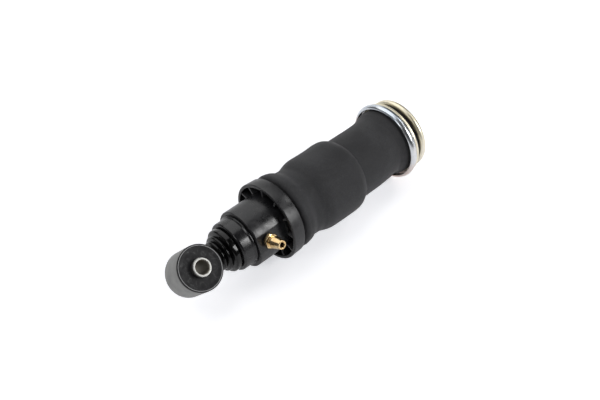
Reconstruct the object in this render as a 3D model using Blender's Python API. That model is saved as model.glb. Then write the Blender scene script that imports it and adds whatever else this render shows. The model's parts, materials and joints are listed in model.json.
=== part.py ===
"""Cab air-spring damper, lying on its side.

The damper axis runs along +X, from the lower eye to the top mount, and +Z is up.
The origin is the centre of the lower eye.
"""
import math

import bmesh
import bpy
from mathutils import Matrix, Vector

MM = 0.001
GAP = 0.3 * MM
RUNNING_GAP = 0.1 * MM
LARGE_SEGMENTS = 32
SMALL_SEGMENTS = 16

# Lower eye and its bonded bush. The eye axis leans from straight up towards -Y.
EYE_AXIS_ANGLE = math.radians(129.1)
EYE_RADIUS = 25.0 * MM
EYE_WALL = 3.2 * MM
EYE_BACK = -19.0 * MM
EYE_FRONT = 17.0 * MM
BUSH_BACK = -18.2 * MM
BUSH_LIP = 2.5 * MM
BUSH_SLEEVE_RADIUS = 10.0 * MM
BUSH_BORE_RADIUS = 7.25 * MM
BUSH_SLEEVE_HALF = 25.5 * MM

# Damper tube and the end cap that joins it to the eye.
NECK_START = 16.0 * MM
NECK_RADIUS = 13.5 * MM
NECK_END = 26.5 * MM
RIDGES = ((29.5 * MM, 17.0 * MM), (34.2 * MM, 20.4 * MM))
RIDGE_ROUND = 1.9 * MM
CAP_RADIUS = 24.7 * MM
CAP_FRONT = 37.4 * MM
CAP_END = 44.8 * MM
TUBE_START = 40.4 * MM
TUBE_END = 215.3 * MM
TUBE_RADIUS = 22.5 * MM
TUBE_WALL = 1.8 * MM
CYLINDER_RADIUS = 16.2 * MM
CYLINDER_BORE = 14.6 * MM
CYLINDER_START = 48.3 * MM
CYLINDER_END = 199.7 * MM
GUIDE_TOP = 208.0 * MM
SEAL_THICKNESS = 4.7 * MM

# Moulded air housing, and the ribbed cup that is pushed on behind it.
COLLAR_START = 45.9 * MM
COLLAR_RADIUS = 28.1 * MM
HOUSING_START = 62.7 * MM
HOUSING_RADIUS = 33.2 * MM
HOUSING_BORE = 26.0 * MM
CUP_START = 99.4 * MM
CUP_WEB = 112.5 * MM
CUP_END = 116.6 * MM
CUP_RADIUS = 46.0 * MM
CUP_REAR_RADIUS = 45.1 * MM
CUP_INNER_RADIUS = 42.4 * MM
SPIGOT_END = 124.0 * MM
RIB_COUNT = 12
RIB_FIRST_ANGLE = math.radians(20.0)
RIB_THICKNESS = 1.5 * MM
RIB_START = 102.5 * MM

# Brass hose nipple. Its axis leans 25 degrees up from -Y.
NIPPLE_X = 77.0 * MM
NIPPLE_LEAN = math.radians(67.5)
NIPPLE_LAND = 31.8 * MM
NIPPLE_TIP = 54.4 * MM
NIPPLE_HEX = 15.0 * MM
NIPPLE_BORE = 2.8 * MM
NIPPLE_THREAD = 4.6 * MM

# Rolling air sleeve and the tube that it rolls on.
SLEEVE_WALL = 3.0 * MM
ROLL_RADIUS = 31.0 * MM
ROLL_WALL = 2.4 * MM
ROLL_END = 213.0 * MM
LOBE_X = 124.0 * MM
LOBE_LENGTH = 4.2 * MM
SLEEVE_INNER_END = 211.0 * MM
SLEEVE_TOP = 291.5 * MM
# Middle of the sleeve's wall, from the rolled lobe up to the crimp: distance along X, radius.
SLEEVE_STATIONS = (
    (124.0, 42.8), (130.0, 41.6), (137.0, 38.5), (143.0, 38.0), (149.5, 38.2), (155.0, 40.0),
    (163.0, 42.0), (175.0, 42.3), (190.0, 42.5), (199.0, 42.7), (206.0, 41.9), (211.0, 39.6),
    (215.0, 36.6), (220.0, 36.1), (245.0, 36.1), (271.0, 35.8), (278.0, 37.0), (284.0, 39.4),
)
CLAMP_START = 196.0 * MM
CLAMP_WIDTH = 12.0 * MM
CLAMP_THICKNESS = 1.6 * MM

# Upper end: crimp ring, closing plate, isolator and top mount plate.
CRIMP_X = 288.5 * MM
CRIMP_CENTRE = 42.3 * MM
CRIMP_ROUND = 4.9 * MM
CRIMP_WALL = 1.2 * MM
CRIMP_START_ANGLE = 160.0
CRIMP_END_ANGLE = 10.0
PLATE_SHOULDER = 41.7 * MM
PLATE_FLANK = 43.6 * MM
PLATE_RIM_START = 292.9 * MM
PLATE_RIM = 45.2 * MM
PLATE_END = 296.3 * MM
HUB_START = 286.5 * MM
HUB_THICKNESS = 2.5 * MM
ISOLATOR_RADIUS = 41.6 * MM
ISOLATOR_BORE = 26.0 * MM
TOP_START = 304.6 * MM
TOP_WALL = 2.0 * MM
TOP_BEAD_CENTRE = 39.0 * MM
TOP_BEAD_ROUND = 4.0 * MM
TOP_SEAT_X = 313.1 * MM
TOP_SEAT_RADIUS = 21.0 * MM
TOP_TILT_X = 301.0 * MM
STUD_RADIUS = 6.0 * MM
STUD_END = 332.6 * MM
STUD_HEAD_RADIUS = 13.0 * MM

# Piston rod and what it carries.
ROD_RADIUS = 6.0 * MM
ROD_THREAD = 5.0 * MM
ROD_START = 118.0 * MM
ROD_SHOULDER = 142.0 * MM
ROD_TOP_SHOULDER = 286.2 * MM
ROD_END = 296.0 * MM
NUT_ACROSS = 17.0 * MM
LARGE_SHIM = 11.5 * MM
SMALL_SHIM = 8.5 * MM
PISTON_START = 128.0 * MM
PISTON_END = 140.0 * MM
PISTON_RADIUS = 14.3 * MM
BUMP_START = 238.0 * MM
BUMP_END = 272.2 * MM
BUMP_RADIUS = 17.0 * MM
BUMP_WAIST = 14.0 * MM

COLOURS = {
    "satin_steel": ((0.34, 0.34, 0.33, 1.0), 0.38, 1.0),
    "zinc": ((0.62, 0.60, 0.52, 1.0), 0.25, 1.0),
    "brass": ((0.64, 0.38, 0.11, 1.0), 0.28, 1.0),
    "rubber": ((0.02, 0.02, 0.02, 1.0), 0.75, 0.0),
    "gloss_black": ((0.01, 0.01, 0.01, 1.0), 0.15, 0.0),
    "black_plastic": ((0.03, 0.03, 0.03, 1.0), 0.45, 0.0),
    "ptfe": ((0.25, 0.22, 0.18, 1.0), 0.5, 0.0),
    "urethane": ((0.45, 0.38, 0.22, 1.0), 0.6, 0.0),
}


def clear_scene():
    for thing in list(bpy.data.objects):
        bpy.data.objects.remove(thing, do_unlink=True)


def make_material(name):
    colour, roughness, metallic = COLOURS[name]
    material = bpy.data.materials.new(name)
    material.use_nodes = True
    shader = material.node_tree.nodes["Principled BSDF"]
    shader.inputs["Base Color"].default_value = colour
    shader.inputs["Roughness"].default_value = roughness
    shader.inputs["Metallic"].default_value = metallic
    return material


def arc(centre_x, centre_r, radius, start, end, steps):
    """Points round a circle in the (x, r) plane; angles in degrees from +x."""
    points = []
    for step in range(steps + 1):
        angle = math.radians(start + (end - start) * step / steps)
        points.append((centre_x + radius * math.cos(angle), centre_r + radius * math.sin(angle)))
    return points


def add_object(name, shape, material, parent=None):
    """Turn a finished bmesh into a named object; material None makes a hidden cutter."""
    bmesh.ops.recalc_face_normals(shape, faces=shape.faces)
    mesh = bpy.data.meshes.new(name)
    shape.to_mesh(mesh)
    shape.free()
    piece = bpy.data.objects.new(name, mesh)
    bpy.context.collection.objects.link(piece)
    piece.parent = parent
    if material is None:
        piece.hide_render = True
        piece.display_type = "WIRE"
    else:
        mesh.materials.append(material)
        mesh.shade_smooth()
        mesh.set_sharp_from_angle(angle=math.radians(30.0))
    return piece


def turned(name, outline, material, segments=LARGE_SEGMENTS, parent=None):
    """Spin an outline of (x, r) points round the X axis.

    An outline that starts and ends on the axis is left open there; any other is closed.
    """
    shape = bmesh.new()
    points = [shape.verts.new((x, 0.0, r)) for x, r in outline]
    edges = [shape.edges.new(pair) for pair in zip(points, points[1:])]
    if outline[0][1] > 0.0:
        edges.append(shape.edges.new((points[-1], points[0])))
    bmesh.ops.spin(
        shape, geom=points + edges, cent=(0.0, 0.0, 0.0), axis=(1.0, 0.0, 0.0),
        angle=2.0 * math.pi, steps=segments, use_merge=True)
    bmesh.ops.remove_doubles(shape, verts=shape.verts, dist=0.001 * MM)
    return add_object(name, shape, material, parent)


def tube(name, start, end, inner, outer, material, segments=SMALL_SEGMENTS, parent=None):
    outline = [(start, inner), (start, outer), (end, outer), (end, inner)]
    return turned(name, outline, material, segments, parent)


def hex_nut(name, start, end, across_flats, bore, material, parent=None):
    """A hexagon across the X axis with a round bore cut through it."""
    shape = bmesh.new()
    corner_radius = across_flats / math.sqrt(3.0)
    middle = Matrix.Translation(((start + end) / 2.0, 0.0, 0.0))
    turn = Matrix.Rotation(math.pi / 2.0, 4, "Y")
    bmesh.ops.create_cone(
        shape, cap_ends=True, segments=6, radius1=corner_radius, radius2=corner_radius,
        depth=end - start, matrix=middle @ turn)
    nut = add_object(name, shape, material, parent)
    cutter = turned(
        name + "_bore", [(start - GAP, 0.0), (start - GAP, bore), (end + GAP, bore), (end + GAP, 0.0)],
        None, SMALL_SEGMENTS, parent)
    cut(nut, cutter, "DIFFERENCE")
    return nut


def cut(piece, tool, operation):
    modifier = piece.modifiers.new(tool.name, "BOOLEAN")
    modifier.operation = operation
    modifier.object = tool


def box_cutter(name, low, high, parent=None):
    shape = bmesh.new()
    size = Vector(high) - Vector(low)
    middle = (Vector(high) + Vector(low)) / 2.0
    matrix = Matrix.Translation(middle) @ Matrix.Diagonal((size.x, size.y, size.z, 1.0))
    bmesh.ops.create_cube(shape, size=1.0, matrix=matrix)
    return add_object(name, shape, None, parent)


def pivot(name, location, rotation):
    empty = bpy.data.objects.new(name, None)
    bpy.context.collection.objects.link(empty)
    empty.location = location
    empty.rotation_euler = rotation
    return empty


def make_eye(materials):
    """The eye ring, the bonded rubber and the inner sleeve, turned about the eye axis."""
    lean = pivot("eye_lean", (0.0, 0.0, 0.0), (EYE_AXIS_ANGLE, 0.0, 0.0))
    across = pivot("eye_axis", (0.0, 0.0, 0.0), (0.0, 0.0, math.pi / 2.0))
    across.parent = lean
    edge = 0.6 * MM
    ring_bore = EYE_RADIUS - EYE_WALL
    ring = [
        (EYE_BACK, ring_bore), (EYE_BACK, EYE_RADIUS - edge), (EYE_BACK + edge, EYE_RADIUS),
        (EYE_FRONT - edge, EYE_RADIUS), (EYE_FRONT, EYE_RADIUS - edge), (EYE_FRONT, ring_bore)]
    turned("eye_ring", ring, materials["satin_steel"], LARGE_SEGMENTS, across)
    seat = EYE_FRONT + GAP
    face = seat + BUSH_LIP
    body_radius = ring_bore - GAP
    sleeve_seat = BUSH_SLEEVE_RADIUS + GAP
    rubber = [
        (BUSH_BACK, sleeve_seat), (BUSH_BACK, body_radius), (seat, body_radius), (seat, EYE_RADIUS),
        (face - edge, EYE_RADIUS), (face, EYE_RADIUS - edge), (face, sleeve_seat + edge),
        (face - edge, sleeve_seat)]
    turned("eye_bush_rubber", rubber, materials["rubber"], LARGE_SEGMENTS, across)
    tube("eye_bush_sleeve", -BUSH_SLEEVE_HALF, BUSH_SLEEVE_HALF, BUSH_BORE_RADIUS,
         BUSH_SLEEVE_RADIUS, materials["satin_steel"], SMALL_SEGMENTS, across)
    reach = EYE_RADIUS + GAP
    end = 30.0 * MM
    return turned(
        "eye_clearance", [(-end, 0.0), (-end, reach), (end, reach), (end, 0.0)],
        None, LARGE_SEGMENTS, across)


def make_end_cap(materials, eye_clearance):
    """Ridged cap on the foot of the damper tube, with a saddle cut to the eye ring."""
    outline = [(NECK_START, 0.0), (NECK_START, NECK_RADIUS), (NECK_END, NECK_RADIUS)]
    for ridge_x, ridge_r in RIDGES:
        outline += arc(ridge_x, ridge_r - RIDGE_ROUND, RIDGE_ROUND, 180.0, 20.0, 4)
    corner = 1.8 * MM
    outline += arc(CAP_FRONT + corner, CAP_RADIUS - corner, corner, 180.0, 90.0, 3)
    outline += arc(CAP_END - corner, CAP_RADIUS - corner, corner, 90.0, 45.0, 2)
    socket = TUBE_RADIUS + GAP
    floor = TUBE_START - GAP
    outline += [(CAP_END, CAP_RADIUS - corner), (CAP_END, socket), (floor, socket), (floor, 0.0)]
    cap = turned("damper_end_cap", outline, materials["gloss_black"])
    cut(cap, eye_clearance, "DIFFERENCE")


def make_damper_tube(materials):
    bore = TUBE_RADIUS - TUBE_WALL
    lip = 12.0 * MM
    edge = 1.0 * MM
    outline = [
        (TUBE_START, bore), (TUBE_START, TUBE_RADIUS), (TUBE_END - edge, TUBE_RADIUS),
        (TUBE_END, TUBE_RADIUS - edge), (TUBE_END, lip), (TUBE_END - 2.0 * edge, lip),
        (TUBE_END - 2.0 * edge, bore)]
    turned("damper_outer_tube", outline, materials["gloss_black"], SMALL_SEGMENTS)
    tube("inner_cylinder", CYLINDER_START, CYLINDER_END, CYLINDER_BORE, CYLINDER_RADIUS,
         materials["satin_steel"])
    fit = bore - GAP
    spigot = CYLINDER_BORE - GAP
    foot = TUBE_START + GAP
    foot_radius = 12.0 * MM
    foot_height = 3.0 * MM
    seat = CYLINDER_START - GAP
    valve_end = seat + 8.0 * MM
    valve = [
        (foot, 0.0), (foot, foot_radius), (foot + foot_height, fit), (seat, fit), (seat, spigot),
        (valve_end, spigot), (valve_end, 0.0)]
    turned("base_valve", valve, materials["satin_steel"], SMALL_SEGMENTS)
    hole = ROD_RADIUS + RUNNING_GAP
    guide_start = CYLINDER_END + GAP
    guide_foot = guide_start - 6.0 * MM
    guide = [
        (guide_foot, hole), (guide_foot, spigot), (guide_start, spigot),
        (guide_start, fit), (GUIDE_TOP, fit), (GUIDE_TOP, hole)]
    turned("rod_guide", guide, materials["satin_steel"], SMALL_SEGMENTS)
    tube("rod_seal", GUIDE_TOP + GAP, GUIDE_TOP + GAP + SEAL_THICKNESS, hole, fit, materials["rubber"])


def make_collar(materials):
    """Stepped collar that holds the air housing on the damper tube."""
    hole = TUBE_RADIUS + GAP
    corner = 2.4 * MM
    end = HOUSING_START - GAP
    outline = [(COLLAR_START, hole), (COLLAR_START, COLLAR_RADIUS - corner)]
    outline += arc(COLLAR_START + corner, COLLAR_RADIUS - corner, corner, 180.0, 90.0, 3)[1:]
    outline += [(end, COLLAR_RADIUS), (end, hole)]
    turned("housing_collar", outline, materials["black_plastic"])


def make_ribs():
    """One mesh of the radial ribs, which run a little way into the cup's wall and web."""
    shape = bmesh.new()
    embed = 0.8 * MM
    low = HOUSING_RADIUS + GAP
    high = CUP_INNER_RADIUS + embed
    end = CUP_WEB + embed
    size = Matrix.Diagonal((end - RIB_START, RIB_THICKNESS, high - low, 1.0))
    place = Matrix.Translation(((end + RIB_START) / 2.0, 0.0, (high + low) / 2.0))
    for index in range(RIB_COUNT):
        angle = RIB_FIRST_ANGLE + 2.0 * math.pi * index / RIB_COUNT - math.pi / 2.0
        turn = Matrix.Rotation(angle, 4, "X")
        bmesh.ops.create_cube(shape, size=1.0, matrix=turn @ place @ size)
    return add_object("cup_ribs", shape, None)


def make_cup(materials):
    """Open cup round the rear of the housing, stiffened by radial ribs."""
    edge = 1.1 * MM
    hole = HOUSING_RADIUS + GAP
    outline = [
        (CUP_WEB, hole), (CUP_WEB, CUP_INNER_RADIUS), (CUP_START + edge, CUP_INNER_RADIUS),
        (CUP_START, CUP_INNER_RADIUS + edge), (CUP_START, CUP_RADIUS - edge),
        (CUP_START + edge, CUP_RADIUS), (CUP_END - edge, CUP_REAR_RADIUS),
        (CUP_END, CUP_REAR_RADIUS - edge), (CUP_END, hole)]
    cup = turned("ribbed_cup", outline, materials["black_plastic"])
    cut(cup, make_ribs(), "UNION")


def make_air_housing(materials):
    """Housing round the damper tube, with the flat land and the nipple's hole."""
    front_lip = HOUSING_START + 3.3 * MM
    front_hole = TUBE_RADIUS + GAP
    edge = 1.1 * MM
    spigot = ROLL_RADIUS - ROLL_WALL - GAP
    outline = [
        (HOUSING_START, front_hole), (HOUSING_START, HOUSING_RADIUS - edge),
        (HOUSING_START + edge, HOUSING_RADIUS), (CUP_END, HOUSING_RADIUS), (CUP_END, spigot),
        (SPIGOT_END, spigot), (SPIGOT_END, HOUSING_BORE), (front_lip, HOUSING_BORE),
        (front_lip, front_hole)]
    housing = turned("air_housing", outline, materials["black_plastic"])
    lean = pivot("nipple_lean", (NIPPLE_X, 0.0, 0.0), (NIPPLE_LEAN, 0.0, 0.0))
    half = 11.0 * MM
    land_start = HOUSING_START - 2.0 * MM
    land_end = RIB_START - 1.0 * MM
    land = box_cutter(
        "nipple_land", (land_start - NIPPLE_X, -half, NIPPLE_LAND),
        (land_end - NIPPLE_X, half, CUP_INNER_RADIUS - 2.0 * MM), lean)
    cut(housing, land, "DIFFERENCE")
    upright = pivot("nipple_axis", (0.0, 0.0, 0.0), (0.0, -math.pi / 2.0, 0.0))
    upright.parent = lean
    reach = NIPPLE_THREAD + GAP
    drill_start = HOUSING_BORE - 6.0 * MM
    drill_end = NIPPLE_LAND + 8.0 * MM
    hole = turned(
        "nipple_hole",
        [(drill_start, 0.0), (drill_start, reach), (drill_end, reach), (drill_end, 0.0)],
        None, SMALL_SEGMENTS, upright)
    cut(housing, hole, "DIFFERENCE")
    section = (HOUSING_BORE - TUBE_RADIUS) / 2.0 - GAP
    ring = arc(front_lip + GAP + section, (HOUSING_BORE + TUBE_RADIUS) / 2.0, section, 0.0, 315.0, 7)
    turned("housing_o_ring", ring, materials["rubber"], SMALL_SEGMENTS)
    return upright


def make_nipple(materials, upright):
    """Hexagon, body, tapered tip and thread in one piece of brass, with its sealing ring."""
    seal_radius = 7.0 * MM
    seal_start = NIPPLE_LAND + GAP
    seal_end = seal_start + 1.2 * MM
    tube("nipple_seal", seal_start, seal_end, NIPPLE_THREAD + GAP, seal_radius,
         materials["rubber"], SMALL_SEGMENTS, upright)
    hex_start = seal_end + GAP
    hex_end = hex_start + 4.6 * MM
    hex_bore = NIPPLE_BORE + 1.0 * MM
    neck_radius = 5.2 * MM
    barb_start = hex_end + 4.5 * MM
    barb_radius = 6.1 * MM
    tip_radius = 4.3 * MM
    edge = 0.4 * MM
    thread_end = HOUSING_BORE + 0.5 * MM
    embed = 0.5 * MM
    outline = [
        (thread_end, NIPPLE_BORE), (thread_end, NIPPLE_THREAD), (hex_start + embed, NIPPLE_THREAD),
        (hex_start + embed, neck_radius), (barb_start, neck_radius), (barb_start, barb_radius),
        (NIPPLE_TIP - edge, tip_radius), (NIPPLE_TIP, tip_radius - edge), (NIPPLE_TIP, NIPPLE_BORE)]
    nipple = turned("air_nipple", outline, materials["brass"], SMALL_SEGMENTS, upright)
    collar = hex_nut("nipple_hex", hex_start, hex_end, NIPPLE_HEX, hex_bore, None, upright)
    cut(nipple, collar, "UNION")


def smooth_stations(stations, steps):
    """Catmull-Rom curve through the stations, in metres."""
    points = [Vector((x * MM, r * MM)) for x, r in stations]
    padded = [points[0] * 2.0 - points[1]] + points + [points[-1] * 2.0 - points[-2]]
    curve = []
    for before, here, there, after in zip(padded, padded[1:], padded[2:], padded[3:]):
        for step in range(steps):
            t = step / steps
            bend = (before * 2.0 - here * 5.0 + there * 4.0 - after) * t * t
            twist = (here * 3.0 - before - there * 3.0 + after) * t * t * t
            curve.append((here * 2.0 + (there - before) * t + bend + twist) / 2.0)
    curve.append(points[-1])
    return curve


def make_sleeve(materials):
    """Rubber sleeve: outer layer, rolled lobe at the cup, and inner layer on the roll tube."""
    outer_radius = SLEEVE_STATIONS[0][1] * MM
    inner_radius = ROLL_RADIUS + GAP + SLEEVE_WALL / 2.0
    lobe_centre = (outer_radius + inner_radius) / 2.0
    lobe_half = (outer_radius - inner_radius) / 2.0
    middle = [Vector((SLEEVE_TOP, SLEEVE_STATIONS[-1][1] * MM))]
    middle += list(reversed(smooth_stations(SLEEVE_STATIONS, 1)))
    lobe_steps = 6
    for step in range(1, lobe_steps + 1):
        angle = math.pi / 2.0 + math.pi * step / lobe_steps
        middle.append(Vector((
            LOBE_X + LOBE_LENGTH * math.cos(angle), lobe_centre + lobe_half * math.sin(angle))))
    middle.append(Vector((SLEEVE_INNER_END, inner_radius)))
    left = []
    right = []
    for index, point in enumerate(middle):
        before = middle[max(index - 1, 0)]
        after = middle[min(index + 1, len(middle) - 1)]
        along = (after - before).normalized()
        across = Vector((-along.y, along.x)) * SLEEVE_WALL / 2.0
        left.append(tuple(point + across))
        right.append(tuple(point - across))
    turned("air_sleeve", left + right[::-1], materials["rubber"])
    tube("roll_tube", CUP_END + 0.4 * MM, ROLL_END, ROLL_RADIUS - ROLL_WALL, ROLL_RADIUS,
         materials["black_plastic"], LARGE_SEGMENTS)
    clamp_bore = inner_radius + SLEEVE_WALL / 2.0 + GAP
    tube("sleeve_clamp_ring", CLAMP_START, CLAMP_START + CLAMP_WIDTH, clamp_bore,
         clamp_bore + CLAMP_THICKNESS, materials["zinc"], LARGE_SEGMENTS)


def make_upper_end(materials):
    """Rolled crimp ring, the plate that closes the sleeve, and the rubber isolator."""
    outline = arc(CRIMP_X, CRIMP_CENTRE, CRIMP_ROUND, CRIMP_START_ANGLE, CRIMP_END_ANGLE, 8)
    outline += arc(
        CRIMP_X, CRIMP_CENTRE, CRIMP_ROUND - CRIMP_WALL, CRIMP_END_ANGLE, CRIMP_START_ANGLE, 6)
    turned("sleeve_crimp_ring", outline, materials["zinc"])
    lip_start = 284.5 * MM
    lip_outer = SLEEVE_STATIONS[-1][1] * MM - SLEEVE_WALL / 2.0 - GAP
    lip_inner = lip_outer - 2.7 * MM
    shoulder_start = SLEEVE_TOP + 0.5 * MM
    flank = CRIMP_X + CRIMP_ROUND + 2.0 * GAP
    hub_end = HUB_START + HUB_THICKNESS
    hub_radius = 24.0 * MM
    slope_end = 32.0 * MM
    plate_step = 1.0 * MM
    hole = ROD_THREAD + GAP
    plate = [
        (HUB_START, hole), (HUB_START, hub_radius), (shoulder_start, slope_end),
        (shoulder_start, lip_inner), (lip_start, lip_inner), (lip_start, lip_outer),
        (shoulder_start, lip_outer), (shoulder_start, PLATE_SHOULDER), (flank, PLATE_SHOULDER),
        (flank, PLATE_FLANK), (PLATE_RIM_START, PLATE_RIM), (PLATE_END, PLATE_RIM),
        (PLATE_END, slope_end + plate_step), (hub_end, hub_radius - plate_step), (hub_end, hole)]
    turned("sleeve_top_plate", plate, materials["zinc"])
    start = PLATE_END + GAP
    end = TOP_START - GAP
    waist = ISOLATOR_RADIUS - 1.2 * MM
    rear = ISOLATOR_RADIUS - 3.0 * MM
    ring = [
        (start, ISOLATOR_BORE), (start, ISOLATOR_RADIUS), ((start + end) / 2.0, waist),
        (end, rear), (end, ISOLATOR_BORE)]
    turned("isolator_ring", ring, materials["rubber"])
    nut_start = hub_end + GAP
    hex_nut("rod_top_nut", nut_start, nut_start + 6.0 * MM, NUT_ACROSS, hole, materials["zinc"])


def make_top_mount(materials):
    """Pressed top plate with a rolled edge and a raised seat, and the stud through it."""
    tilt = pivot("top_tilt", (TOP_TILT_X, 0.0, 0.0), (EYE_AXIS_ANGLE, 0.0, 0.0))
    tilt_back = pivot("top_axis", (0.0, 0.0, 0.0), (-EYE_AXIS_ANGLE, 0.0, 0.0))
    tilt_back.parent = tilt
    shift = TOP_TILT_X
    bead_x = TOP_START + TOP_BEAD_ROUND
    hole = STUD_RADIUS + GAP
    step_radius = 31.0 * MM
    bead_end = -50.0
    outline = [
        (TOP_SEAT_X - TOP_WALL, hole), (TOP_SEAT_X - TOP_WALL, TOP_SEAT_RADIUS),
        (TOP_START, step_radius)]
    outline += arc(bead_x, TOP_BEAD_CENTRE, TOP_BEAD_ROUND, 180.0, bead_end, 8)
    outline += arc(bead_x, TOP_BEAD_CENTRE, TOP_BEAD_ROUND - TOP_WALL, bead_end, 180.0, 4)
    outline += [
        (TOP_START + TOP_WALL, step_radius + 1.0 * MM), (TOP_SEAT_X, TOP_SEAT_RADIUS + 1.0 * MM),
        (TOP_SEAT_X, hole)]
    local = [(x - shift, r) for x, r in outline]
    turned("top_mount_plate", local, materials["zinc"], LARGE_SEGMENTS, tilt_back)
    head_end = TOP_SEAT_X - TOP_WALL - GAP
    head_start = head_end - 4.0 * MM
    edge = 1.0 * MM
    stud = [
        (head_start, 0.0), (head_start, STUD_HEAD_RADIUS), (head_end, STUD_HEAD_RADIUS),
        (head_end, STUD_RADIUS), (STUD_END - edge, STUD_RADIUS), (STUD_END, STUD_RADIUS - edge),
        (STUD_END, 0.0)]
    local = [(x - shift, r) for x, r in stud]
    turned("top_stud", local, materials["zinc"], SMALL_SEGMENTS, tilt_back)


def make_rod(materials):
    """Piston rod with its piston, valve shims, nut, stops and the bump stop's cup."""
    edge = 0.6 * MM
    rod = [
        (ROD_START, 0.0), (ROD_START, ROD_THREAD - edge), (ROD_START + edge, ROD_THREAD),
        (ROD_SHOULDER, ROD_THREAD), (ROD_SHOULDER, ROD_RADIUS), (ROD_TOP_SHOULDER, ROD_RADIUS),
        (ROD_TOP_SHOULDER, ROD_THREAD), (ROD_END - edge, ROD_THREAD), (ROD_END, ROD_THREAD - edge),
        (ROD_END, 0.0)]
    turned("piston_rod", rod, materials["satin_steel"], SMALL_SEGMENTS)
    hole = ROD_THREAD + GAP
    groove = 3.0 * MM
    groove_radius = PISTON_RADIUS - 1.4 * MM
    piston = [
        (PISTON_START, hole), (PISTON_START, PISTON_RADIUS), (PISTON_START + groove, PISTON_RADIUS),
        (PISTON_START + groove, groove_radius), (PISTON_END - groove, groove_radius),
        (PISTON_END - groove, PISTON_RADIUS), (PISTON_END, PISTON_RADIUS), (PISTON_END, hole)]
    turned("piston", piston, materials["satin_steel"], SMALL_SEGMENTS)
    tube("piston_ring", PISTON_START + groove + GAP, PISTON_END - groove - GAP,
         groove_radius + GAP / 2.0, CYLINDER_BORE - 0.15 * MM, materials["ptfe"])
    step = PISTON_END + 0.9 * MM
    shims = [
        (PISTON_END + GAP, hole), (PISTON_END + GAP, LARGE_SHIM), (step, LARGE_SHIM),
        (step, SMALL_SHIM), (ROD_SHOULDER - GAP, SMALL_SHIM), (ROD_SHOULDER - GAP, hole)]
    turned("compression_shims", shims, materials["satin_steel"], SMALL_SEGMENTS)
    stack_start = PISTON_START - 2.4 * MM
    step = PISTON_START - 1.2 * MM
    shims = [
        (stack_start, hole), (stack_start, SMALL_SHIM), (step, SMALL_SHIM), (step, LARGE_SHIM),
        (PISTON_START - GAP, LARGE_SHIM), (PISTON_START - GAP, hole)]
    turned("rebound_shims", shims, materials["satin_steel"], SMALL_SEGMENTS)
    nut_end = stack_start - GAP
    hex_nut("piston_nut", nut_end - 5.8 * MM, nut_end, NUT_ACROSS, hole, materials["satin_steel"])
    rod_hole = ROD_RADIUS + GAP
    stop_start = ROD_SHOULDER + 0.6 * MM
    stop_radius = 13.5 * MM
    tube("rebound_stop", stop_start, stop_start + 4.9 * MM, rod_hole, stop_radius,
         materials["urethane"])
    make_bump_stop(materials, rod_hole)


def make_bump_stop(materials, rod_hole):
    """Waisted foam spring under the top plate, and the steel cup that seats it."""
    waves = 3
    pitch = (BUMP_END - BUMP_START) / waves
    nose = BUMP_WAIST - 2.0 * MM
    outline = [(BUMP_START, rod_hole), (BUMP_START, nose)]
    for wave in range(waves):
        start = BUMP_START + pitch * wave
        outline += [
            (start + 0.25 * pitch, BUMP_RADIUS), (start + 0.75 * pitch, BUMP_RADIUS),
            (start + pitch, BUMP_WAIST)]
    outline += [(BUMP_END, rod_hole)]
    turned("bump_stop", outline, materials["urethane"], SMALL_SEGMENTS)
    floor = BUMP_END + GAP
    rim = BUMP_RADIUS + 0.5 * MM
    wall = 2.0 * MM
    hub = 10.0 * MM
    end = HUB_START - GAP
    lip = floor - 2.5 * MM
    cup = [
        (floor, rod_hole), (floor, rim), (lip, rim), (lip, rim + wall),
        (floor + wall, rim + wall), (floor + wall, hub), (end, hub), (end, rod_hole)]
    turned("bump_stop_cup", cup, materials["satin_steel"], SMALL_SEGMENTS)


def main():
    clear_scene()
    materials = {name: make_material(name) for name in COLOURS}
    eye_clearance = make_eye(materials)
    make_end_cap(materials, eye_clearance)
    make_damper_tube(materials)
    make_collar(materials)
    make_cup(materials)
    upright = make_air_housing(materials)
    make_nipple(materials, upright)
    make_sleeve(materials)
    make_upper_end(materials)
    make_top_mount(materials)
    make_rod(materials)
    bpy.context.view_layer.update()


main()
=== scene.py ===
import json
import math

import bmesh
import bpy
from mathutils import Matrix, Vector, noise


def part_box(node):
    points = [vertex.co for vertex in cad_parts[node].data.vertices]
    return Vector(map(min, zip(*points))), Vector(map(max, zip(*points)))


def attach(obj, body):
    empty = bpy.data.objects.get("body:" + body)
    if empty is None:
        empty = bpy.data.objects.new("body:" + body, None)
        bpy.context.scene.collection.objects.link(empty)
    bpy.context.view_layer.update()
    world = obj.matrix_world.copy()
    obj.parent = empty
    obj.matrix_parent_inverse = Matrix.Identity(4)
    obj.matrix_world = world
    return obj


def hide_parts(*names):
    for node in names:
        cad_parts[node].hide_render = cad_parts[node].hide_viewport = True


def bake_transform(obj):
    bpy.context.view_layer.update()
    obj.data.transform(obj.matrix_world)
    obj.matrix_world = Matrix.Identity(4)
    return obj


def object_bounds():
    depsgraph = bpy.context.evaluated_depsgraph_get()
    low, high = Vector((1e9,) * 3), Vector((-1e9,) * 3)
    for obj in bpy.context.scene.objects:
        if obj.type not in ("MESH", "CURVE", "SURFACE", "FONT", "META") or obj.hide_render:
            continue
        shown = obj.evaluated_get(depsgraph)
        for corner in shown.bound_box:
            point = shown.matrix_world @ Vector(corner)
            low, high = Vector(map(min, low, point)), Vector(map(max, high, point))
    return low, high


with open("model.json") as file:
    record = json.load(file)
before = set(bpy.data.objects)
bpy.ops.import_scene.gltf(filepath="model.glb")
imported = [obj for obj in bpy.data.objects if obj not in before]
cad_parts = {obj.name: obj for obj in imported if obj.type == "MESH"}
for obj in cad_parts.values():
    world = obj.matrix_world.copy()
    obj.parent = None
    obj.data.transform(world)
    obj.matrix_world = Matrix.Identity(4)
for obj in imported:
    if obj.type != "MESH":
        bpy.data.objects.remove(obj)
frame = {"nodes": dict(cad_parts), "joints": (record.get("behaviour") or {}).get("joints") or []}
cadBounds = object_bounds()
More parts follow.
